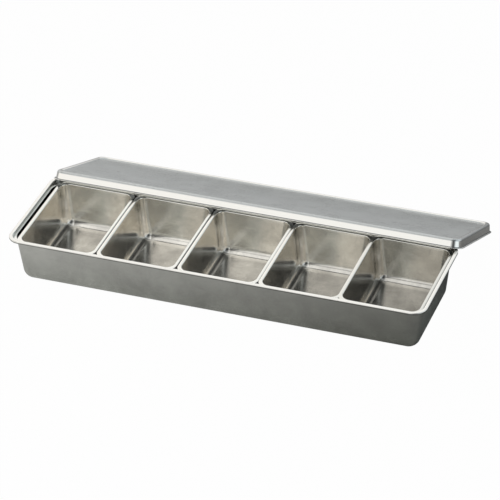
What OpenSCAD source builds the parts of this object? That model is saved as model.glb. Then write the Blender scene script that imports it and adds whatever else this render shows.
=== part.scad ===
/* [Tray] */
// Length over the rim
tray_length = 404; // [340:1:520]
// Width over the rim
tray_width = 118; // [96:1:170]
// Height from the table to the top of the rim
tray_height = 48; // [36:1:80]
// Thickness of the tray's sheet
tray_sheet = 0.6; // [0.5:0.1:0.9]
// Width of the rim, from its outer edge to the step inside it
rim_width = 3.5; // [3.2:0.1:6]
// Depth of the rim's turned-down outer edge
rim_drop = 1.8; // [1.5:0.1:3]
// Radius of the rim's corners, seen from above
rim_corner = 13; // [9:0.5:15]
// Depth of the ledge below the top of the rim
ledge_depth = 3.1; // [2.4:0.1:6]
// Width of the ledge that the pans hang on
ledge_width = 1.5; // [1.3:0.1:3]
// Slope of the walls away from upright, in degrees
tray_draft = 7.1; // [2:0.1:8]
// Radius of the walls' corners, measured at the rim's outer edge
tray_corner = 19.5; // [16:0.5:26]
// Outside radius between the walls and the floor
tray_fillet = 10; // [6:0.5:12]

/* [Pans] */
// Thickness of a pan's sheet
pan_sheet = 0.5; // [0.4:0.1:0.8]
// Width of a pan's flange
pan_flange = 3; // [2.8:0.1:5]
// Radius of the flange's corners, seen from above
pan_flange_corner = 8; // [5:0.5:10]
// Radius of a pan's opening at its corners
pan_corner = 10; // [9:0.5:16]
// Slope of a pan's walls away from upright, in degrees
pan_draft = 6.2; // [2:0.1:7]
// Inside radius between a pan's walls and its floor
pan_fillet = 5.5; // [3:0.5:5.5]
// Space under a pan, above the tray's floor
pan_floor_gap = 2.6; // [0.5:0.1:8]
// Gap between the flanges and the step, at the front and at the back
pan_clearance = 0.4; // [0.35:0.05:0.5]
// Space at the left end of the row of pans
row_gap_left = 5.1; // [0.5:0.1:8]
// Space at the right end of the row of pans
row_gap_right = 1.3; // [0.4:0.1:3]
// Gap between the first pan and the second
pan_gap_first = 1; // [0.2:0.1:3]
// Gap between the second pan and the third
pan_gap_second = 1.2; // [0.2:0.1:3]
// Gap between the third pan and the fourth
pan_gap_third = 0.4; // [0.2:0.1:3]
// How far the last pan's flange lies over the fourth one's
pan_lap = 1.9; // [0.5:0.1:1.9]

/* [Lid] */
// Thickness of the lid's sheet
lid_sheet = 0.6; // [0.5:0.1:0.8]
// Height of the lid
lid_height = 8.5; // [7.5:0.5:16]
// Gap between the lid's skirt and the rim that it closes over
lid_clearance = 0.4; // [0.3:0.1:1.2]
// Width of the flange that turns out below the skirt
lid_flange = 1.5; // [1:0.1:3]
// Radius of the flange's corners, seen from above
lid_corner = 10.8; // [8:0.2:14]
// Slope of the skirt away from upright, in degrees
lid_draft = 7.1; // [2:0.1:8]
// Outside radius between the skirt and the top
lid_edge = 2.8; // [1.2:0.1:3]
// Depth of the sunk panel below the lid's border
panel_depth = 2; // [1.2:0.1:2]
// Slope of the panel's edge below level, in degrees
panel_slope = 49.5; // [35:0.5:60]
// Radius of the sunk panel's corners, seen from above
panel_corner = 8.5; // [8:0.5:12]
// Gap between the sunk panel and the step that it drops inside
panel_clearance = 0.5; // [0.3:0.1:1.5]
// How far the lid reaches over the tray as it leans there
lid_lap = 10.7; // [9:0.1:14]
// Gap that keeps the leaning lid from cutting into the rim
lid_seat_gap = 0.1; // [0.05:0.05:0.3]

/* [Hidden] */
$fn = 96;

steel_tray = [0.62, 0.62, 0.60];
steel_pan = [0.72, 0.71, 0.68];
steel_lid = [0.70, 0.71, 0.72];

// Bends of each sheet, on the line through the middle of its thickness
tray_bend = tray_sheet / 2 + 0.1;
rim_bend = tray_sheet / 2 + 0.5;
tray_foot_bend = tray_fillet - tray_sheet / 2;
pan_bend = pan_sheet / 2 + 0.35;
pan_foot_bend = pan_fillet + pan_sheet / 2;
lid_bend = lid_sheet / 2 + 0.4;
lid_edge_bend = lid_edge - lid_sheet / 2;
panel_bend = lid_sheet / 2 + 0.7;

// Heights that the pans follow
ledge_top = tray_height - ledge_depth;
flange_top = ledge_top + pan_sheet;
pan_height = flange_top - tray_sheet - pan_floor_gap;
pan_deep = pan_height - pan_sheet;

// Room inside the step, and what the five pans make of it
room_length = tray_length - 2 * rim_width;
row_gaps = pan_gap_first + pan_gap_second + pan_gap_third - pan_lap;
pan_length = (room_length - row_gap_left - row_gap_right - row_gaps) / 5;
pan_width = tray_width - 2 * (rim_width + pan_clearance);
row_start = -room_length / 2 + row_gap_left;
pan_gaps = [0, pan_gap_first, pan_gap_second, pan_gap_third, -pan_lap];
function pan_left(i) = i == 0 ? row_start : pan_left(i - 1) + pan_length + pan_gaps[i];

// The last pan's left flange lies on the fourth pan's flange, and its right end on the ledge
lap_height = pan_sheet + 0.02;
lap_tilt = asin(lap_height / (pan_length - pan_lap));

// Distances inward from the rim's outer edge to the middle of the tray's sheet
rim_lip = tray_sheet / 2;
tray_step = rim_width - tray_sheet / 2;
ledge_start = tray_step + tray_bend;
tray_wall_top = rim_width + ledge_width + tray_sheet / 2 * (tan(tray_draft) - 1 / cos(tray_draft));
ledge_end = tenth_below(tray_wall_top - tray_bend * tan((90 - tray_draft) / 2));
tray_wall_foot = tray_wall_top + (ledge_top - tray_sheet) * tan(tray_draft);
tray_floor_start = tray_wall_foot + tray_foot_bend * tan((90 - tray_draft) / 2);
wall_corner = max(tray_corner, tenth_below(tray_floor_start + 1));

// Distances inward from the flange's outer edge to the middle of a pan's sheet
pan_wall_top = pan_flange + pan_sheet / 2 * (tan(pan_draft) - 1 / cos(pan_draft));
pan_flange_end = tenth_below(pan_wall_top - pan_bend * tan((90 - pan_draft) / 2));
pan_wall_foot = pan_wall_top + pan_deep * tan(pan_draft);
pan_floor_start = pan_wall_foot + pan_foot_bend * tan((90 - pan_draft) / 2);
pan_wall_corner = max(pan_corner + pan_flange, tenth_below(pan_floor_start + 1));

// The lid follows the rim that it closes over
lid_reach = lid_clearance + lid_sheet + lid_flange;
lid_length = tray_length + 2 * lid_reach;
lid_width = tray_width + 2 * lid_reach;

// Distances inward from the flange's outer edge to the middle of the lid's sheet
skirt_foot = lid_flange + lid_sheet / 2;
skirt_top = skirt_foot + (lid_height - lid_sheet) * tan(lid_draft);
border_start = tenth_below(skirt_top + lid_edge_bend * tan((90 - lid_draft) / 2) + 0.1);
slope_top = lid_reach + rim_width + panel_clearance;
slope_foot = slope_top + panel_depth / tan(panel_slope);
border_end = tenth_below(slope_top - panel_bend * tan(panel_slope / 2));
panel_start = slope_foot + panel_bend * tan(panel_slope / 2);
slope_corner = max(panel_corner + slope_top, tenth_below(panel_start + 1));

// The leaning lid stands on its back edge and lies on the tray's end rims, where its front
// corners cross them. The crossing is found in plan, as a depth behind the flat of the flange.
flange_flat = skirt_foot - lid_bend * tan((90 - lid_draft) / 2);
flat_corner = lid_corner - flange_flat;
lean_cos = cos(asin(tray_height / lid_width));
lid_front = tray_width / 2 - lid_lap;
function arc_reach(r, depth) = depth >= r ? r : sqrt(r * r - (r - depth) * (r - depth));
function flat_x(depth) = lid_length / 2 - lid_corner + arc_reach(flat_corner, depth);
function rim_y(depth) = tray_width / 2 - lid_front - (flange_flat + depth) * lean_cos;
function rim_x(depth) = tray_length / 2 - rim_corner + arc_reach(rim_corner, max(rim_y(depth), 0));
function crossing(low, high, steps) =
    steps == 0 ? high :
    flat_x((low + high) / 2) < rim_x((low + high) / 2) ?
        crossing((low + high) / 2, high, steps - 1) :
        crossing(low, (low + high) / 2, steps - 1);
lid_seat = flange_flat + crossing(0, flat_corner, 20);
// The rim's round edge lets the lid lie a little lower than a sharp one would
edge_drop = (rim_bend + tray_sheet / 2) / 6;
lid_tilt = asin((tray_height + lid_seat_gap - edge_drop) / (lid_width - lid_seat));
lid_back = lid_front + lid_width * cos(lid_tilt);

function tenth_below(x) = floor(x * 10) / 10;

// A sheet's section is a line of points with a bend radius at each, all on the middle of its
// thickness. It is drawn stretch by stretch, each one in the direction of its own, so that
// every stretch meets the bend after it along one shared line.
function way(path, i) = (path[i + 1] - path[i]) / norm(path[i + 1] - path[i]);
function turn(path, i) = atan2(cross(way(path, i - 1), way(path, i)), way(path, i - 1) * way(path, i));
function bend_run(path, radii, i) = radii[i] == 0 ? 0 : radii[i] * tan(abs(turn(path, i)) / 2);

module pivot(r, angle) {
    translate([0, r])
        rotate(angle)
            translate([0, -r])
                children();
}

module stretch(path, radii, t, i) {
    run = norm(path[i + 1] - path[i]) - bend_run(path, radii, i) - bend_run(path, radii, i + 1);
    if (run > 0.001)
        translate([0, -t / 2])
            square([run, t]);
    if (i < len(path) - 2)
        translate([run, 0])
            bend(path, radii, t, i + 1);
}

module bend(path, radii, t, i) {
    r = radii[i];
    angle = turn(path, i);
    reach = 2 * (r + t);
    intersection() {
        translate([0, sign(angle) * r])
            difference() {
                circle(r = r + t / 2);
                circle(r = r - t / 2);
            }
        translate([0, -reach])
            square([reach, 2 * reach]);
        pivot(sign(angle) * r, angle)
            translate([-reach, -reach])
                square([reach, 2 * reach]);
    }
    pivot(sign(angle) * r, angle)
        stretch(path, radii, t, i);
}

module bent_sheet(path, radii, t) {
    translate(path[0])
        rotate(atan2(way(path, 0).y, way(path, 0).x))
            stretch(path, radii, t, 0);
}

// The part of a section between a line at x = start and one well outside its outer edge
module kept_from(start) {
    intersection() {
        children();
        translate([start, -200])
            square([400, 400]);
    }
}

// A section, drawn with its outer edge at 0, carried round a rectangle with round corners.
// A section that runs on to the middle closes the whole rectangle.
module carry_round(length, width, corner) {
    for (s = [-1, 1])
        scale([s, 1, 1])
            translate([length / 2, 0, 0])
                rotate([90, 0, 0])
                    linear_extrude(width - 2 * corner, center = true)
                        kept_from(-corner)
                            children();
    for (s = [-1, 1])
        scale([1, s, 1])
            translate([0, width / 2, 0])
                rotate([90, 0, 90])
                    linear_extrude(length - 2 * corner, center = true)
                        kept_from(-width / 2)
                            children();
    for (k = [0 : 3])
        translate([
            (k == 0 || k == 3 ? 1 : -1) * (length / 2 - corner),
            (k < 2 ? 1 : -1) * (width / 2 - corner),
            0
        ])
            rotate(90 * k)
                rotate_extrude(angle = 90)
                    kept_from(0)
                        translate([corner, 0])
                            children();
}

// A flat outline with round corners, drawn a given distance inside a larger one
module outline(length, width, corner, inset) {
    l = length - 2 * inset;
    w = width - 2 * inset;
    r = corner - inset;
    square([l - 2 * r, w], center = true);
    square([l, w - 2 * r], center = true);
    for (x = [-1, 1], y = [-1, 1])
        translate([x * (l / 2 - r), y * (w / 2 - r)])
            circle(r = r);
}

module outer_tray() {
    t = tray_sheet;
    top = tray_height - t / 2;
    ledge = ledge_top - t / 2;
    color(steel_tray) {
        carry_round(tray_length, tray_width, rim_corner)
            bent_sheet(
                [
                    [-rim_lip, tray_height - rim_drop],
                    [-rim_lip, top],
                    [-tray_step, top],
                    [-tray_step, ledge],
                    [-ledge_start, ledge]
                ],
                [0, rim_bend, tray_bend, tray_bend, 0],
                t
            );
        translate([0, 0, ledge_top - t])
            linear_extrude(t)
                difference() {
                    outline(tray_length, tray_width, rim_corner, ledge_start);
                    outline(tray_length, tray_width, wall_corner, ledge_end);
                }
        carry_round(tray_length, tray_width, wall_corner)
            bent_sheet(
                [
                    [-ledge_end, ledge],
                    [-tray_wall_top, ledge],
                    [-tray_wall_foot, t / 2],
                    [-tray_width / 2 - 1, t / 2]
                ],
                [0, tray_bend, tray_foot_bend, 0],
                t
            );
    }
}

// One pan, its left edge at x = 0, with the underside of its flange at z = 0
module pan() {
    t = pan_sheet;
    translate([pan_length / 2, 0, 0])
        color(steel_pan) {
            linear_extrude(t)
                difference() {
                    outline(pan_length, pan_width, pan_flange_corner, 0);
                    outline(pan_length, pan_width, pan_wall_corner, pan_flange_end);
                }
            carry_round(pan_length, pan_width, pan_wall_corner)
                bent_sheet(
                    [
                        [-pan_flange_end, t / 2],
                        [-pan_wall_top, t / 2],
                        [-pan_wall_foot, t / 2 - pan_deep],
                        [-pan_width / 2 - 1, t / 2 - pan_deep]
                    ],
                    [0, pan_bend, pan_foot_bend, 0],
                    t
                );
        }
}

module hung_pan(i) {
    translate([pan_left(i), 0, ledge_top])
        pan();
}

// The last pan leans on its right end, because its left flange lies on its neighbour's
module lapped_pan(i) {
    translate([pan_left(i) + pan_length, 0, ledge_top])
        rotate([0, lap_tilt, 0])
            translate([-pan_length, 0, 0])
                pan();
}

// The lid as it closes, its flange at z = 0
module flat_lid() {
    t = lid_sheet;
    top = lid_height - t / 2;
    low = top - panel_depth;
    color(steel_lid) {
        carry_round(lid_length, lid_width, lid_corner)
            bent_sheet(
                [[-border_start, top], [-skirt_top, top], [-skirt_foot, t / 2], [0, t / 2]],
                [0, lid_edge_bend, lid_bend, 0],
                t
            );
        translate([0, 0, lid_height - t])
            linear_extrude(t)
                difference() {
                    outline(lid_length, lid_width, lid_corner, border_start);
                    outline(lid_length, lid_width, slope_corner, border_end);
                }
        carry_round(lid_length, lid_width, slope_corner)
            bent_sheet(
                [[-border_end, top], [-slope_top, top], [-slope_foot, low], [-lid_width / 2 - 1, low]],
                [0, panel_bend, panel_bend, 0],
                t
            );
    }
}

// The lid off the tray, leaning on its rim
module lid() {
    translate([0, lid_back, 0])
        rotate([-lid_tilt, 0, 0])
            translate([0, -lid_width / 2, 0])
                flat_lid();
}

outer_tray();
hung_pan(0);  // inner_pan_1
hung_pan(1);  // inner_pan_2
hung_pan(2);  // inner_pan_3
hung_pan(3);  // inner_pan_4
lapped_pan(4);  // inner_pan_5
lid();
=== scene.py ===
"""A long steel condiment tray with five lift-out pans and a loose lid that leans on its rim."""

import math

import bpy
from mathutils import Matrix, Vector


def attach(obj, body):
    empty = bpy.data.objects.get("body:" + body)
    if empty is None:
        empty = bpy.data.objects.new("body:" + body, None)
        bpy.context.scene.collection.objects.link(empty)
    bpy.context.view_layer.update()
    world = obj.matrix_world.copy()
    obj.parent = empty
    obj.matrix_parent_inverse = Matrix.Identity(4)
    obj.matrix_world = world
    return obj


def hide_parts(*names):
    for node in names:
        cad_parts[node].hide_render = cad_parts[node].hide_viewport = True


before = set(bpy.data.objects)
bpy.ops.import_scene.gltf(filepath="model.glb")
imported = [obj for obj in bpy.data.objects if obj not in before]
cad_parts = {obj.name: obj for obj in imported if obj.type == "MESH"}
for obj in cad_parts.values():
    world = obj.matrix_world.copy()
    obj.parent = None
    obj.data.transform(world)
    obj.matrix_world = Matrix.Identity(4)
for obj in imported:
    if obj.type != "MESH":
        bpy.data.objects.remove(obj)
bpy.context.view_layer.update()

# Sizes are in millimetres and degrees, and MM turns them into metres. They are the solids' own, apart
# from lips, fillets, pan corners and the lid, which follow the photograph more closely. A value named
# with POLISH says how far a polished finish, with its painted highlight, or a satin finish reaches.
MM = 0.001

TRAY_LENGTH = 404.0
TRAY_WIDTH = 118.0
TRAY_HEIGHT = 48.0
TRAY_SHEET = 0.6
RIM_WIDTH = 3.5
RIM_DROP = 1.8
RIM_ROUND = 0.2
LIP_FACE_DROP = 0.9
RIM_CORNER = 13.0
LEDGE_DEPTH = 3.1
LEDGE_WIDTH = 1.5
TRAY_DRAFT = 7.1
TRAY_CORNER = 19.8
TRAY_FILLET = 10.0
TRAY_ROUND = 0.1

PAN_SHEET = 0.5
PAN_FLANGE = 3.0
PAN_FLANGE_CORNER = 8.0
PAN_CORNER = 8.0
PAN_FOOT_CORNER = 8.0
PAN_LIP_BEND = 0.8
PAN_DRAFT = 6.2
PAN_FILLET = 8.0
PAN_FLOOR_GAP = 2.6
PAN_CLEARANCE = 0.4
PAN_POLISH_HIGHLIGHT_FADE = 3.0
ROW_GAP_LEFT = 5.1
ROW_GAP_RIGHT = 1.3
PAN_GAPS = (0.0, 1.0, 1.2, 0.4, -1.9)
LAP_GAP = 0.02

LID_SHEET = 0.6
LID_HEIGHT = 8.5
LID_CLEARANCE = 0.4
LID_FLANGE = 1.5
LID_CORNER = 10.8
LID_DRAFT = 7.1
LID_EDGE = 2.0
LID_ROUND = 0.4
SKIRT_POLISH_HIGHLIGHT_LOW = 1.0
SKIRT_POLISH_HIGHLIGHT_HIGH = 2.2
BORDER_START = 0.1

# The sunk panel starts a little outside the step, as the photograph shows it
PANEL_DEPTH = 1.3
PANEL_SLOPE = 49.5
PANEL_CORNER = 8.5
PANEL_CLEARANCE = -0.6
PANEL_ROUND = 1.4
PANEL_POLISH_HIGHLIGHT_FADE = 2.0

LID_LAP = 10.7
LID_SEAT_GAP = 0.1

# The photographed lid is shorter at each end than one that closes over the rim, and lies to the right
LID_END_TRIM = 2.0
LID_SHIFT = 1.7

# The solids' rim is rounder, and the lid leans where they have it
SOLID_RIM_ROUND = 0.5
EDGE_DROP_PART = 6
LEAN_STEPS = 20

# A small distance that keeps one station of a section apart from the bend beside it
SEAM = 0.05

# Points of a sheet nearer than this, in metres, become one
MERGE_DISTANCE = 2e-6

# How the steel is finished at a station: polished with a painted highlight, plain satin, or darkened by
# painted shade
BRIGHT = 1.0
SATIN = 0.0
PAINTED_SHADE = -1.0

CORNER_STEPS = 20
BEND_STEPS = 7


def tangent(degrees):
    return math.tan(math.radians(degrees))


# ---- node trees ----


class Value:
    """A number socket that can stand in a sum written in Python."""

    def __init__(self, board, socket):
        self.board = board
        self.socket = socket

    def _sum(self, operation, *numbers):
        return self.board.add("ShaderNodeMath", {"operation": operation}, dict(enumerate(numbers)))

    def __add__(self, other):
        return self._sum("ADD", self, other)

    def __radd__(self, other):
        return self._sum("ADD", other, self)

    def __sub__(self, other):
        return self._sum("SUBTRACT", self, other)

    def __rsub__(self, other):
        return self._sum("SUBTRACT", other, self)

    def __mul__(self, other):
        return self._sum("MULTIPLY", self, other)

    def __rmul__(self, other):
        return self._sum("MULTIPLY", other, self)

    def __truediv__(self, other):
        return self._sum("DIVIDE", self, other)

    def __mod__(self, other):
        return self._sum("MODULO", self, other)

    def __gt__(self, other):
        return self._sum("GREATER_THAN", self, other)

    def __lt__(self, other):
        return self._sum("LESS_THAN", self, other)

    def floor(self):
        return self._sum("FLOOR", self)

    def cosine(self):
        return self._sum("COSINE", self)

    def sine(self):
        return self._sum("SINE", self)

    def at_least(self, other):
        return self._sum("MAXIMUM", self, other)

    def at_most(self, other):
        return self._sum("MINIMUM", self, other)

    def clamped(self):
        return self.at_least(0.0).at_most(1.0)


class Board:
    """A node tree, filled one node at a time."""

    def __init__(self, tree):
        self.tree = tree

    def place(self, kind, settings=None, sockets=None):
        node = self.tree.nodes.new(kind)
        for name, value in (settings or {}).items():
            if name == "items":
                for _ in range(value - len(node.index_switch_items)):
                    node.index_switch_items.new()
            else:
                setattr(node, name, value)
        for key, value in (sockets or {}).items():
            socket = self.find(node.inputs, key)
            if isinstance(value, Value):
                self.tree.links.new(value.socket, socket)
            else:
                socket.default_value = value
        return node

    def add(self, kind, settings=None, sockets=None, out=0):
        node = self.place(kind, settings, sockets)
        return Value(self, self.find(node.outputs, out))

    def find(self, sockets, key):
        live = [s for s in sockets if s.enabled]
        if isinstance(key, int):
            return live[key]
        return [s for s in live if s.name == key][0]


# ---- sections of the sheets ----
# A station is one corner of a sheet's section, on the middle of its thickness: its name, how far it
# lies inside the outer edge, its height, the radius of the outline's corners there as measured at
# the outer edge, the radius of the bend, and how the steel is finished there: a share of BRIGHT
# polishes it and paints a highlight onto its colour, and a negative share paints shade onto it.


def tray_section():
    t = TRAY_SHEET
    small_bend = t / 2 + TRAY_ROUND
    rim_bend = t / 2 + RIM_ROUND
    foot_bend = TRAY_FILLET - t / 2
    top = TRAY_HEIGHT - t / 2
    ledge = TRAY_HEIGHT - LEDGE_DEPTH - t / 2
    step = RIM_WIDTH - t / 2
    wall_top = RIM_WIDTH + LEDGE_WIDTH
    wall_top += t / 2 * (tangent(TRAY_DRAFT) - 1 / math.cos(math.radians(TRAY_DRAFT)))
    wall_foot = wall_top + (ledge - t / 2) * tangent(TRAY_DRAFT)
    # BRIGHT stations get a painted highlight and a lower roughness; negative shares paint shade under the lip
    # and at the step's foot.
    return [
        ("Lip", t / 2, TRAY_HEIGHT - RIM_DROP, RIM_CORNER, 0.0, PAINTED_SHADE),
        ("Lip face", t / 2, TRAY_HEIGHT - LIP_FACE_DROP, RIM_CORNER, 0.0, 0.3 * BRIGHT),
        ("Rim edge", t / 2, top, RIM_CORNER, rim_bend, BRIGHT),
        ("Step top", step, top, RIM_CORNER, small_bend, BRIGHT),
        ("Step foot", step, ledge, RIM_CORNER, small_bend, 0.5 * PAINTED_SHADE),
        ("Ledge", step + small_bend + SEAM, ledge, RIM_CORNER, 0.0, BRIGHT),
        ("Ledge edge", wall_top - small_bend - SEAM, ledge, TRAY_CORNER, 0.0, BRIGHT),
        ("Wall top", wall_top, ledge, TRAY_CORNER, small_bend, 0.5 * BRIGHT),
        ("Wall foot", wall_foot, t / 2, TRAY_CORNER, foot_bend, SATIN),
        ("Floor middle", TRAY_WIDTH / 2, t / 2, TRAY_CORNER, 0.0, SATIN),
    ]


def pan_section():
    t = PAN_SHEET
    bend = PAN_LIP_BEND
    foot_bend = PAN_FILLET + t / 2
    corner = PAN_CORNER + PAN_FLANGE
    low = t / 2 - PAN_DEEP
    wall_top = PAN_FLANGE + t / 2 * (tangent(PAN_DRAFT) - 1 / math.cos(math.radians(PAN_DRAFT)))
    wall_foot = wall_top + PAN_DEEP * tangent(PAN_DRAFT)
    foot_corner = wall_foot + PAN_FOOT_CORNER
    fade = PAN_POLISH_HIGHLIGHT_FADE
    # BRIGHT stations, the flange and the lip, get a painted highlight as well as a lower roughness.
    return [
        ("Flange edge", 0.0, t / 2, PAN_FLANGE_CORNER, 0.0, BRIGHT),
        ("Flange inside", wall_top - bend - SEAM, t / 2, corner, 0.0, BRIGHT),
        ("Wall top", wall_top, t / 2, corner, bend, BRIGHT),
        ("Wall below lip", wall_top + fade * tangent(PAN_DRAFT), t / 2 - fade, corner, 0.0, SATIN),
        ("Wall foot", wall_foot, low, foot_corner, foot_bend, SATIN),
        ("Floor middle", PAN_LENGTH / 2, low, foot_corner, 0.0, SATIN),
    ]


def lid_section():
    t = LID_SHEET
    bend = t / 2 + LID_ROUND
    edge_bend = LID_EDGE - t / 2
    panel_bend = t / 2 + PANEL_ROUND
    top = LID_HEIGHT - t / 2
    low = top - PANEL_DEPTH
    skirt_foot = LID_FLANGE + t / 2
    skirt_low = skirt_foot + SKIRT_POLISH_HIGHLIGHT_LOW * tangent(LID_DRAFT)
    skirt_top = skirt_foot + (LID_HEIGHT - t) * tangent(LID_DRAFT)
    skirt_high = skirt_top - SKIRT_POLISH_HIGHLIGHT_HIGH * tangent(LID_DRAFT)
    border = skirt_top + edge_bend * tangent((90 - LID_DRAFT) / 2) + BORDER_START
    slope_top = LID_REACH + RIM_WIDTH + PANEL_CLEARANCE
    slope_foot = slope_top + PANEL_DEPTH / tangent(PANEL_SLOPE)
    border_end = slope_top - panel_bend * tangent(PANEL_SLOPE / 2) - SEAM
    corner = PANEL_CORNER + slope_top
    # BRIGHT stations get a painted highlight and a lower roughness; negative shares paint shade at the
    # skirt's foot and top, on the border and at the slope's foot.
    return [
        ("Flange edge", 0.0, t / 2, LID_CORNER, 0.0, BRIGHT),
        ("Skirt foot", skirt_foot, t / 2, LID_CORNER, bend, PAINTED_SHADE),
        ("Skirt low", skirt_low, t / 2 + SKIRT_POLISH_HIGHLIGHT_LOW, LID_CORNER, 0.0, BRIGHT),
        ("Skirt high", skirt_high, top - SKIRT_POLISH_HIGHLIGHT_HIGH, LID_CORNER, 0.0, BRIGHT),
        ("Skirt top", skirt_top, top, LID_CORNER, edge_bend, 0.12 * PAINTED_SHADE),
        ("Border", border, top, LID_CORNER, 0.0, 0.3 * PAINTED_SHADE),
        ("Border inside", border_end, top, corner, 0.0, 0.3 * BRIGHT),
        ("Slope top", slope_top, top, corner, panel_bend, BRIGHT),
        ("Slope foot", slope_foot, low, corner, panel_bend, 0.2 * PAINTED_SHADE),
        ("Panel", slope_foot + PANEL_POLISH_HIGHLIGHT_FADE, low, corner, 0.0, SATIN),
        ("Panel middle", LID_WIDTH / 2, low, corner, 0.0, SATIN),
    ]


# The row of pans
LEDGE_TOP = TRAY_HEIGHT - LEDGE_DEPTH
PAN_HEIGHT = LEDGE_TOP + PAN_SHEET - TRAY_SHEET - PAN_FLOOR_GAP
PAN_DEEP = PAN_HEIGHT - PAN_SHEET
ROOM_LENGTH = TRAY_LENGTH - 2 * RIM_WIDTH
PAN_LENGTH = (ROOM_LENGTH - ROW_GAP_LEFT - ROW_GAP_RIGHT - sum(PAN_GAPS)) / len(PAN_GAPS)
PAN_WIDTH = TRAY_WIDTH - 2 * (RIM_WIDTH + PAN_CLEARANCE)
LAP_TILT = math.asin((PAN_SHEET + LAP_GAP) / (PAN_LENGTH + PAN_GAPS[-1]))

# The lid, and how it leans
LID_REACH = LID_CLEARANCE + LID_SHEET + LID_FLANGE
LID_LENGTH = TRAY_LENGTH + 2 * (LID_REACH - LID_END_TRIM)
LID_WIDTH = TRAY_WIDTH + 2 * LID_REACH


def arc_reach(radius, depth):
    return radius if depth >= radius else math.sqrt(radius**2 - (radius - depth) ** 2)


def lid_lean():
    """The lid's tilt in radians, and the place of its back edge."""
    bend = LID_SHEET / 2 + LID_ROUND
    flat = LID_FLANGE + LID_SHEET / 2 - bend * tangent((90 - LID_DRAFT) / 2)
    corner = LID_CORNER - flat
    front = TRAY_WIDTH / 2 - LID_LAP
    lean_cos = math.cos(math.asin(TRAY_HEIGHT / LID_WIDTH))
    low, high = 0.0, corner
    for _ in range(LEAN_STEPS):
        middle = (low + high) / 2
        flange_x = LID_LENGTH / 2 - LID_CORNER + arc_reach(corner, middle)
        behind_rim = TRAY_WIDTH / 2 - front - (flat + middle) * lean_cos
        rim_x = TRAY_LENGTH / 2 - RIM_CORNER + arc_reach(RIM_CORNER, max(behind_rim, 0.0))
        low, high = (middle, high) if flange_x < rim_x else (low, middle)
    edge_drop = (TRAY_SHEET + SOLID_RIM_ROUND) / EDGE_DROP_PART
    rise = TRAY_HEIGHT + LID_SEAT_GAP - edge_drop
    tilt = math.asin(rise / (LID_WIDTH - flat - high))
    return tilt, front + LID_WIDTH * math.cos(tilt)


# ---- the tree that carries a section round a rectangle with round corners ----


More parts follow.
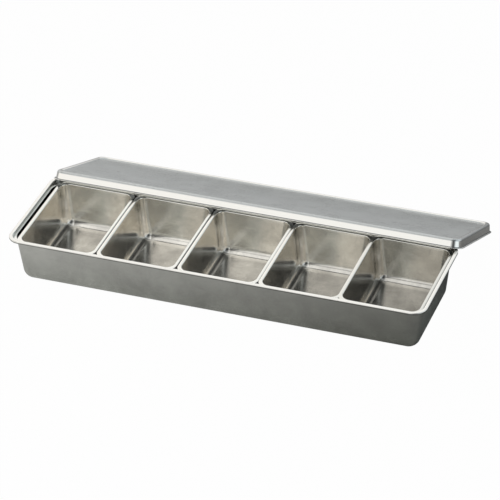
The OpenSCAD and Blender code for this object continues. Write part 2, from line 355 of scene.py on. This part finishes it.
def carried_sheet(name, section):
    group = bpy.data.node_groups.new(name, "GeometryNodeTree")
    face = group.interface
    for label in ("Length", "Width"):
        face.new_socket(label, in_out="INPUT", socket_type="NodeSocketFloat")
    face.new_socket("Corner steps", in_out="INPUT", socket_type="NodeSocketInt")
    face.new_socket("Bend steps", in_out="INPUT", socket_type="NodeSocketInt")
    for station in section:
        face.new_socket(station[0], in_out="INPUT", socket_type="NodeSocketVector")
        face.new_socket(station[0] + " bend", in_out="INPUT", socket_type="NodeSocketFloat")
        face.new_socket(station[0] + " polish", in_out="INPUT", socket_type="NodeSocketFloat")
    face.new_socket("Place", in_out="INPUT", socket_type="NodeSocketVector")
    face.new_socket("Turn", in_out="INPUT", socket_type="NodeSocketRotation")
    face.new_socket("Steel", in_out="INPUT", socket_type="NodeSocketMaterial")
    face.new_socket("Geometry", in_out="OUTPUT", socket_type="NodeSocketGeometry")

    board = Board(group)
    given = board.place("NodeGroupInput")
    inputs = {s.name: Value(board, s) for s in given.outputs}
    index = board.add("GeometryNodeInputIndex")

    def per_station(kind, suffix):
        sockets = {0: index}
        for k, station in enumerate(section):
            sockets[k + 1] = inputs[station[0] + suffix]
        settings = {"data_type": kind, "items": len(section)}
        return board.add("GeometryNodeIndexSwitch", settings, sockets)

    # the section as a line: x is the distance inside the outer edge, y is the height
    corner_of = per_station("VECTOR", "")
    parts = board.place("ShaderNodeSeparateXYZ", None, {0: corner_of})
    inset, height, corner = [Value(board, s) for s in parts.outputs]
    line = board.add("GeometryNodeMeshLine", None, {"Count": len(section)})
    line = board.add("GeometryNodeMeshToCurve", None, {"Mesh": line})
    # Each point keeps its corner radius and its share of polish, painted highlight and painted shade.
    for label, value in (("corner", corner), ("polish", per_station("FLOAT", " polish"))):
        line = board.add(
            "GeometryNodeStoreNamedAttribute",
            {"data_type": "FLOAT", "domain": "POINT"},
            {"Geometry": line, "Name": label, "Value": value},
        )
    spot = board.add("ShaderNodeCombineXYZ", None, {"X": inset, "Y": height, "Z": 0.0})
    line = board.add("GeometryNodeSetPosition", None, {"Geometry": line, "Position": spot})
    line = board.add(
        "GeometryNodeFilletCurve",
        {"mode": "POLY"},
        {
            "Curve": line,
            "Count": inputs["Bend steps"],
            "Radius": per_station("FLOAT", " bend"),
            "Limit Radius": False,
        },
    )

    # one row of points for each quarter step round the outline, one column for each section point
    count = board.add("GeometryNodeAttributeDomainSize", {"component": "CURVE"}, {0: line})
    steps = inputs["Corner steps"]
    rows = 4 * (steps + 1) + 1
    grid = board.add("GeometryNodeMeshGrid", None, {"Vertices X": rows, "Vertices Y": count})
    row = (index / count).floor()
    column = index - row * count

    def sampled(kind, value):
        settings = {"data_type": kind, "domain": "POINT"}
        sockets = {"Geometry": line, "Value": value, "Index": column}
        return board.add("GeometryNodeSampleIndex", settings, sockets)

    def stored(label):
        return board.add("GeometryNodeInputNamedAttribute", {"data_type": "FLOAT"}, {"Name": label})

    parts = board.place(
        "ShaderNodeSeparateXYZ",
        None,
        {0: sampled("FLOAT_VECTOR", board.add("GeometryNodeInputPosition"))},
    )
    inset, height = [Value(board, s) for s in parts.outputs][:2]
    corner = sampled("FLOAT", stored("corner"))
    polish = sampled("FLOAT", stored("polish"))
    quarter = (row / (steps + 1)).floor()
    along = (row - quarter * (steps + 1)) / steps
    angle = (quarter + along) * (math.pi / 2)
    quarter = quarter % 4
    side_x = 1 - 2 * ((quarter > 0.5) * (quarter < 2.5))
    side_y = 1 - 2 * (quarter > 1.5)
    radius = (corner - inset).at_least(0.0)
    x = side_x * (inputs["Length"] / 2 - inset - radius) + radius * angle.cosine()
    y = side_y * (inputs["Width"] / 2 - inset - radius) + radius * angle.sine()
    spot = board.add("ShaderNodeCombineXYZ", None, {"X": x, "Y": y, "Z": height})
    # The grid carries the share of polish, painted highlight and painted shade to the material.
    grid = board.add(
        "GeometryNodeStoreNamedAttribute",
        {"data_type": "FLOAT", "domain": "POINT"},
        {"Geometry": grid, "Name": "polish", "Value": polish},
    )
    sheet = board.add("GeometryNodeSetPosition", None, {"Geometry": grid, "Position": spot})
    sheet = board.add("GeometryNodeMergeByDistance", None, {"Geometry": sheet, "Distance": MERGE_DISTANCE})
    sheet = board.add(
        "GeometryNodeTransform",
        None,
        {"Geometry": sheet, "Translation": inputs["Place"], "Rotation": inputs["Turn"]},
    )
    sheet = board.add("GeometryNodeSetShadeSmooth", None, {"Geometry": sheet, "Shade Smooth": True})
    sheet = board.add("GeometryNodeRealizeInstances", None, {"Geometry": sheet})
    sheet = board.add("GeometryNodeSetMaterial", None, {"Geometry": sheet, "Material": inputs["Steel"]})
    board.place("NodeGroupOutput", None, {"Geometry": sheet})
    return group


def made_of_sheet(name, tree, section, length, width, thickness, place, turn, steel):
    """One finished piece: the tree's sheet, thickened, as a plain mesh."""
    empty_mesh = bpy.data.meshes.new(name)
    draft = bpy.data.objects.new(name + "_draft", empty_mesh)
    bpy.context.scene.collection.objects.link(draft)
    carry = draft.modifiers.new("Carried sheet", "NODES")
    carry.node_group = tree
    values = {
        "Length": length * MM,
        "Width": width * MM,
        "Corner steps": CORNER_STEPS,
        "Bend steps": BEND_STEPS,
        "Place": [v * MM for v in place],
        "Turn": turn,
        "Steel": steel,
    }
    for label, inset, height, corner, bend, polish in section:
        values[label] = [inset * MM, height * MM, corner * MM]
        values[label + " bend"] = bend * MM
        values[label + " polish"] = polish
    for item in tree.interface.items_tree:
        if item.in_out == "INPUT":
            carry[item.identifier] = values[item.name]
    thicken = draft.modifiers.new("Sheet thickness", "SOLIDIFY")
    thicken.thickness = thickness * MM
    thicken.offset = 0.0
    thicken.use_even_offset = True
    level = draft.modifiers.new("Flat faces stay flat", "WEIGHTED_NORMAL")
    level.mode = "FACE_AREA"
    level.weight = 80
    level.keep_sharp = False
    bpy.context.view_layer.update()
    settled = draft.evaluated_get(bpy.context.evaluated_depsgraph_get())
    mesh = bpy.data.meshes.new_from_object(settled)
    mesh.name = name
    piece = bpy.data.objects.new(name, mesh)
    bpy.context.scene.collection.objects.link(piece)
    bpy.data.objects.remove(draft)
    return piece


# ---- steel ----

# Shares of the grain in the shade, and the shade's range around the body's own
GRAIN = 0.7
DARK_PATCH = 0.84
LIGHT_PATCH = 1.13

# Where a steel with painted shade starts to darken towards the right, in metres, and how fast
RIGHT_SHADE_START = 0.03
RIGHT_SHADE_RATE = 8.0

# What the clouds, hairlines and specks add to the roughness and to the relief
CLOUD_ROUGH = 0.10
HAIRLINE_ROUGH = 0.08
HAIRLINE_RELIEF = 0.25
SPECK_RELIEF = 0.15

# How far painted shade darkens a station's colour, in creases, under the lip and on the lid's border, and the
# colour of that painted shade
PAINTED_SHADE_STRENGTH = 0.75
PAINTED_SHADE_COLOUR = (0.05, 0.05, 0.05, 1.0)


def steel(name, body_shade, polish_highlight_shade, body_rough, bright_rough, mottle, waves, right_painted_shade):
    """Satin steel: hairlines, soft mottling and faint waves, with a painted highlight where it is polished,
    and painted shade in creases and towards the right where asked.
    """
    material = bpy.data.materials.new(name)
    material.use_nodes = True
    material.node_tree.nodes.clear()
    board = Board(material.node_tree)
    spot = board.add("ShaderNodeTexCoord", None, None, "Object")
    cloud = board.add(
        "ShaderNodeTexNoise",
        None,
        {"Vector": spot, "Scale": 38.0, "Detail": 5.0, "Roughness": 0.6, "Distortion": 0.4},
        "Fac",
    )
    stretched = board.add(
        "ShaderNodeMapping",
        None,
        {"Vector": spot, "Scale": (60.0, 2600.0, 2600.0)},
    )
    hairline = board.add(
        "ShaderNodeTexNoise",
        None,
        {"Vector": stretched, "Scale": 1.0, "Detail": 3.0, "Roughness": 0.65},
        "Fac",
    )
    wave = board.add(
        "ShaderNodeTexNoise",
        None,
        {"Vector": spot, "Scale": 24.0, "Detail": 1.5, "Roughness": 0.4},
        "Fac",
    )
    speck = board.add(
        "ShaderNodeTexNoise",
        None,
        {"Vector": spot, "Scale": 520.0, "Detail": 2.0, "Roughness": 0.5},
        "Fac",
    )
    polish = board.add("ShaderNodeAttribute", {"attribute_name": "polish"}, None, "Fac")
    patch = 0.5 + (cloud - 0.5) * mottle + (hairline - 0.5) * GRAIN + (speck - 0.5) * GRAIN
    patch = patch.clamped()
    body = board.add(
        "ShaderNodeMix",
        {"data_type": "RGBA"},
        {
            "Factor": patch,
            "A": tuple(DARK_PATCH * c for c in body_shade) + (1.0,),
            "B": tuple(min(1.0, LIGHT_PATCH * c) for c in body_shade) + (1.0,),
        },
    )
    # Painted highlight: polished places take a lighter colour, besides their lower roughness.
    colour = board.add(
        "ShaderNodeMix",
        {"data_type": "RGBA"},
        {"Factor": polish.clamped(), "A": body, "B": tuple(polish_highlight_shade) + (1.0,)},
    )
    # Painted shade: with a share above nought the colour darkens towards the right.
    along = board.add("ShaderNodeSeparateXYZ", None, {0: spot}, "X")
    right_shade_share = ((along - RIGHT_SHADE_START) * RIGHT_SHADE_RATE).clamped() * right_painted_shade
    colour = board.add(
        "ShaderNodeMix",
        {"data_type": "RGBA"},
        {"Factor": right_shade_share, "A": colour, "B": (0.0, 0.0, 0.0, 1.0)},
    )
    rough = body_rough + (cloud - 0.5) * CLOUD_ROUGH + (hairline - 0.5) * HAIRLINE_ROUGH
    rough = rough + polish.at_least(0.0) * (bright_rough - body_rough)
    relief = hairline * HAIRLINE_RELIEF + speck * SPECK_RELIEF + wave * waves
    # Painted shade: a negative share darkens the colour towards near black.
    painted_shade_mix = 1.0 - PAINTED_SHADE_STRENGTH * (0.0 - polish).clamped()
    colour = board.add(
        "ShaderNodeMix",
        {"data_type": "RGBA"},
        {"Factor": painted_shade_mix, "A": PAINTED_SHADE_COLOUR, "B": colour},
    )
    bump = board.add(
        "ShaderNodeBump",
        None,
        {"Strength": 0.35, "Distance": 0.00008, "Height": relief},
    )
    shader = board.add(
        "ShaderNodeBsdfPrincipled",
        None,
        {"Base Color": colour, "Metallic": 1.0, "Roughness": rough, "Normal": bump},
    )
    board.place("ShaderNodeOutputMaterial", None, {"Surface": shader})
    return material


tray_steel = steel(
    "tray_steel_satin",
    body_shade=(0.62, 0.63, 0.59),
    polish_highlight_shade=(0.92, 0.91, 0.88),
    body_rough=0.26,
    bright_rough=0.14,
    mottle=3.0,
    waves=8.0,
    right_painted_shade=0.0,
)
# The pans carry painted shade that darkens them towards the right.
pan_steel = steel(
    "pan_steel_satin",
    body_shade=(0.81, 0.79, 0.745),
    polish_highlight_shade=(0.93, 0.92, 0.88),
    body_rough=0.17,
    bright_rough=0.12,
    mottle=3.5,
    waves=9.0,
    right_painted_shade=0.13,
)
lid_steel = steel(
    "lid_steel_satin",
    body_shade=(0.65, 0.675, 0.68),
    polish_highlight_shade=(0.93, 0.92, 0.89),
    body_rough=0.28,
    bright_rough=0.14,
    mottle=0.6,
    waves=2.5,
    right_painted_shade=0.0,
)


# ---- the pieces ----

section = tray_section()
tree = carried_sheet("Tray sheet", section)
tray = made_of_sheet(
    "steel_tray", tree, section, TRAY_LENGTH, TRAY_WIDTH, TRAY_SHEET, (0, 0, 0), (0, 0, 0), tray_steel
)
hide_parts("outer_tray")
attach(tray, "root")

section = pan_section()
tree = carried_sheet("Pan sheet", section)
left = -ROOM_LENGTH / 2 + ROW_GAP_LEFT
for number, gap in enumerate(PAN_GAPS, start=1):
    if number > 1:
        left += PAN_LENGTH + gap
    middle = (left + PAN_LENGTH / 2, 0.0, LEDGE_TOP)
    lean = 0.0
    if number == len(PAN_GAPS):
        lean = LAP_TILT
        reach = PAN_LENGTH / 2
        middle = (left + PAN_LENGTH - reach * math.cos(lean), 0.0, LEDGE_TOP + reach * math.sin(lean))
    pan = made_of_sheet(
        "steel_pan_%d" % number,
        tree,
        section,
        PAN_LENGTH,
        PAN_WIDTH,
        PAN_SHEET,
        middle,
        (0.0, lean, 0.0),
        pan_steel,
    )
    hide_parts("inner_pan_%d" % number)
    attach(pan, "root")

section = lid_section()
tree = carried_sheet("Lid sheet", section)
lid_tilt, lid_back = lid_lean()
half = LID_WIDTH / 2
lid = made_of_sheet(
    "steel_lid",
    tree,
    section,
    LID_LENGTH,
    LID_WIDTH,
    LID_SHEET,
    (LID_SHIFT, lid_back - half * math.cos(lid_tilt), half * math.sin(lid_tilt)),
    (-lid_tilt, 0.0, 0.0),
    lid_steel,
)
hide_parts("lid")
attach(lid, "root")


# ---- floor, light and camera ----

# The floor is white to the camera. In the steel it is a darker tone, a painted shade, and it glows on
# the left and, more, far behind: the numbers are shares of white, and places in metres with the rates at
# which the glow grows.
FLOOR_REACH = 12.0
FLOOR_DROP = 0.0002
FLOOR_WHITE = 0.985
FLOOR_SHADE = (0.85, 0.85, 0.85, 1.0)
FLOOR_PAINTED_SHADE_MIRRORED = (0.48, 0.48, 0.47, 1.0)
LEFT_GLOW = 0.125
LEFT_GLOW_RATE = 0.70
LEFT_GLOW_MOST = 0.25
BACK_GLOW = 0.34
BACK_GLOW_START = 0.12
BACK_GLOW_RATE = 5.0
FAR_GLOW_START = 0.6
FAR_GLOW_RATE = 0.8
FAR_GLOW_MOST = 0.6


def floor_material():
    material = bpy.data.materials.new("pale_floor")
    material.use_nodes = True
    material.node_tree.nodes.clear()
    board = Board(material.node_tree)
    path = board.place("ShaderNodeLightPath")
    seen = Value(board, path.outputs["Is Camera Ray"]) * FLOOR_WHITE
    mirrored = Value(board, path.outputs["Is Glossy Ray"]) + Value(board, path.outputs["Is Transmission Ray"])
    spot = board.place("ShaderNodeTexCoord")
    apart = board.place("ShaderNodeSeparateXYZ", None, {0: Value(board, spot.outputs["Object"])})
    across, deep = [Value(board, socket) for socket in apart.outputs][:2]
    left_glow = (LEFT_GLOW - across * LEFT_GLOW_RATE).at_least(0.0).at_most(LEFT_GLOW_MOST)
    back_glow = ((deep - BACK_GLOW_START) * BACK_GLOW_RATE).clamped() * BACK_GLOW
    far_glow = ((deep - FAR_GLOW_START) * FAR_GLOW_RATE).at_least(0.0).at_most(FAR_GLOW_MOST)
    back_glow = back_glow + far_glow
    share = (seen + mirrored * left_glow.at_least(back_glow)).at_most(1.0)
    # Painted shade: steel mirrors the floor in a darker tone than the camera sees.
    tone = board.add(
        "ShaderNodeMix",
        {"data_type": "RGBA"},
        {"Factor": mirrored.at_most(1.0), "A": FLOOR_SHADE, "B": FLOOR_PAINTED_SHADE_MIRRORED},
    )
    matt = board.add("ShaderNodeBsdfDiffuse", None, {"Color": tone})
    white = board.add("ShaderNodeEmission", None, {"Color": (1.0, 1.0, 1.0, 1.0), "Strength": 1.0})
    shader = board.add("ShaderNodeMixShader", None, {"Fac": share, 1: matt, 2: white})
    board.place("ShaderNodeOutputMaterial", None, {"Surface": shader})
    return material


def plane(name, corners, material):
    mesh = bpy.data.meshes.new(name)
    mesh.from_pydata(corners, [], [tuple(range(len(corners)))])
    mesh.materials.append(material)
    piece = bpy.data.objects.new(name, mesh)
    bpy.context.scene.collection.objects.link(piece)
    return piece


floor = plane(
    "floor",
    [(x * FLOOR_REACH, y * FLOOR_REACH, -FLOOR_DROP) for x, y in ((-1, -1), (1, -1), (1, 1), (-1, 1))],
    floor_material(),
)

# The room is white where the camera sees it. The steel mirrors a room that is dimmer on the right,
# most of all at the front, and bright again at the far right. A dim band crosses the front, and a
# dim patch lies high at the far left of it.
# Numbers are parts of a direction's length of 1 (to the right, to the back or up), rates, or the
# share of light that is taken away.
FRONT_MIDDLE = 0.5
FRONT_RATE = 1.2
RIGHT_START = 0.20
RIGHT_RATE = 2.2
RIGHT_END = 0.80
RIGHT_END_RATE = 4.0
RIGHT_LOSS = 0.25
RIGHT_LOSS_FRONT = 0.65
BAND_HEIGHT = 0.69
BAND_HALF = 0.10
BAND_RATE = 12.0
BAND_LOSS = 0.18
BAND_LOSS_MORE = 0.62
BAND_MORE_START = 0.36
BAND_MORE_RATE = 7.0
FAR_LEFT_START = 0.40
FAR_LEFT_RATE = 8.0
FAR_LEFT_HEIGHT = 0.45
FAR_LEFT_HEIGHT_RATE = 5.0
FAR_LEFT_LOSS = 0.7
TINT_START = 0.4
WARM_LEFT = (1.0, 0.985, 0.955, 1.0)
COOL_RIGHT = (0.90, 0.97, 1.0, 1.0)

# The room's strength where it lights the matt floor, and what it gains where steel mirrors it
ROOM_LIGHT = 0.35
ROOM_MIRRORED = 0.65

world = bpy.data.worlds.new("pale_room")
bpy.context.scene.world = world
world.use_nodes = True
world.node_tree.nodes.clear()
board = Board(world.node_tree)
path = board.place("ShaderNodeLightPath")
seen = Value(board, path.outputs["Is Camera Ray"])
mirrored = Value(board, path.outputs["Is Glossy Ray"]) + Value(board, path.outputs["Is Transmission Ray"])
bearing = board.add("ShaderNodeTexCoord", None, None, "Generated")
apart = board.place("ShaderNodeSeparateXYZ", None, {0: bearing})
across, deep, upward = [Value(board, socket) for socket in apart.outputs]
front = (FRONT_MIDDLE - deep * FRONT_RATE).clamped()
right_fall = ((across + RIGHT_START) * RIGHT_RATE).clamped()
right_fall = right_fall * ((RIGHT_END - across) * RIGHT_END_RATE).clamped()
height_off = (upward - BAND_HEIGHT).at_least(BAND_HEIGHT - upward)
dim_band = ((BAND_HALF - height_off) * BAND_RATE).clamped()
far_left = ((0.0 - across - FAR_LEFT_START) * FAR_LEFT_RATE).clamped()
far_left = far_left * ((upward - FAR_LEFT_HEIGHT) * FAR_LEFT_HEIGHT_RATE).clamped()
room = 1.0 - right_fall * (RIGHT_LOSS + RIGHT_LOSS_FRONT * front)
band_loss = BAND_LOSS + ((across + BAND_MORE_START) * BAND_MORE_RATE).clamped() * BAND_LOSS_MORE
room = room * (1.0 - dim_band * front * band_loss) * (1.0 - far_left * front * FAR_LEFT_LOSS)
tint = board.add(
    "ShaderNodeMix",
    {"data_type": "RGBA"},
    {
        "Factor": (across + TINT_START).clamped(),
        "A": WARM_LEFT,
        "B": COOL_RIGHT,
    },
)
shade = board.add(
    "ShaderNodeMix",
    {"data_type": "RGBA"},
    {"Factor": seen, "A": tint, "B": (1.0, 1.0, 1.0, 1.0)},
)
strength = room * (ROOM_LIGHT + ROOM_MIRRORED * mirrored)
strength = strength + (1.0 - strength) * seen
room_light = board.add("ShaderNodeBackground", None, {"Color": shade, "Strength": strength})
board.place("ShaderNodeOutputWorld", None, {"Surface": room_light})


def softbox(name, place, aim, wide, tall, power, tint):
    """An area light that the steel doesn't mirror."""
    lamp = bpy.data.lights.new(name, "AREA")
    lamp.shape = "RECTANGLE"
    lamp.size = wide
    lamp.size_y = tall
    lamp.energy = power
    lamp.color = tint
    holder = bpy.data.objects.new(name, lamp)
    bpy.context.scene.collection.objects.link(holder)
    holder.location = place
    holder.visible_glossy = False
    holder.rotation_mode = "QUATERNION"
    holder.rotation_quaternion = (Vector(aim) - Vector(place)).to_track_quat("-Z", "Y")


softbox(
    "left_softbox",
    place=(-0.62, -0.42, 0.40),
    aim=(-0.15, -0.10, 0.0),
    wide=0.30,
    tall=0.25,
    power=2.2,
    tint=(1.0, 0.98, 0.93),
)

# The camera as fitted to the photograph: where it looks from, and its long lens
VIEW_AZIMUTH = 20.785
VIEW_ELEVATION = 33.623
VIEW_ROLL = -1.797
VIEW_ACROSS = -15.323
VIEW_UP = -33.168
VIEW_DISTANCE = 2836.375
FOCAL_PIXELS = 3059.082
PICTURE_PIXELS = 500.0
SENSOR = 36.0

azimuth = math.radians(VIEW_AZIMUTH)
elevation = math.radians(VIEW_ELEVATION)
roll = math.radians(VIEW_ROLL)
back = Vector(
    (
        math.sin(azimuth) * math.cos(elevation),
        -math.cos(azimuth) * math.cos(elevation),
        math.sin(elevation),
    )
)
level_right = Vector((0.0, 0.0, 1.0)).cross(back).normalized()
level_up = back.cross(level_right)
right = level_right * math.cos(roll) + level_up * math.sin(roll)
up = level_up * math.cos(roll) - level_right * math.sin(roll)
lens = bpy.data.cameras.new("camera")
lens.sensor_width = SENSOR
lens.lens = FOCAL_PIXELS / PICTURE_PIXELS * SENSOR
lens.clip_start = 0.05
lens.clip_end = 60.0
camera = bpy.data.objects.new("camera", lens)
bpy.context.scene.collection.objects.link(camera)
turned = Matrix((right, up, back)).transposed().to_4x4()
spot = (back * VIEW_DISTANCE - right * VIEW_ACROSS - up * VIEW_UP) * MM
camera.matrix_world = Matrix.Translation(spot) @ turned
bpy.context.scene.camera = camera
bpy.context.scene.view_settings.view_transform = "Standard"
